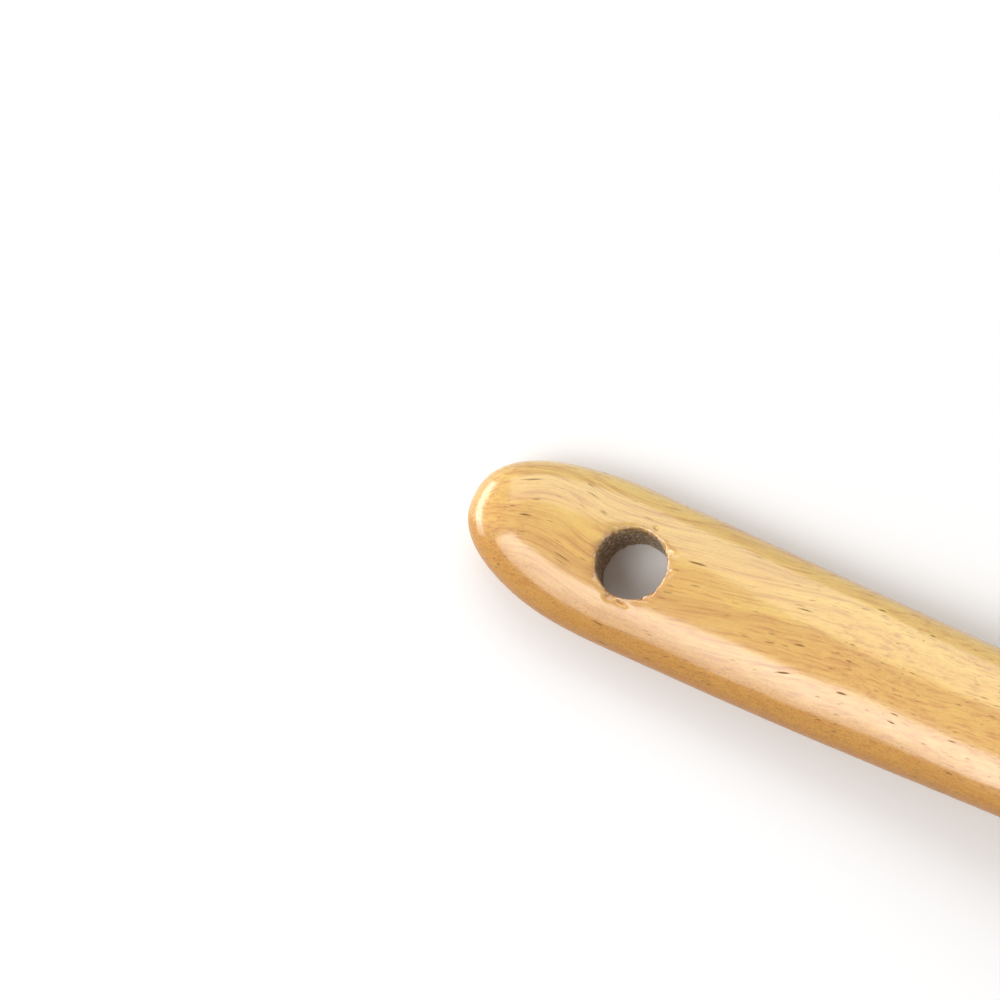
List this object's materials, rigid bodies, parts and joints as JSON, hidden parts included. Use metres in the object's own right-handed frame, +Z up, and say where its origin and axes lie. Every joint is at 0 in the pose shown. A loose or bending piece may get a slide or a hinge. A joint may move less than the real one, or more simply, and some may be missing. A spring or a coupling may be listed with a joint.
{
  "type": "slotted spoon",
  "caption": "Wooden slotted cooking spoon: flat tapering handle with a hanging hole, and an oval bowl with draining slots.",
  "frame": {"origin": "on the table under the middle of the spoon, where it rests on its bowl and its handle's end", "axes": "+X along the spoon from the hanging hole to the bowl's tip, +Z up out of the hollow of the bowl"},
  "size_m": [0.3, 0.062, 0.0207],
  "materials": {
    "wood": "oiled and worn glossy"
  },
  "bodies": {
    "root": {"spoon": "wood"}
  },
  "joints": []
}
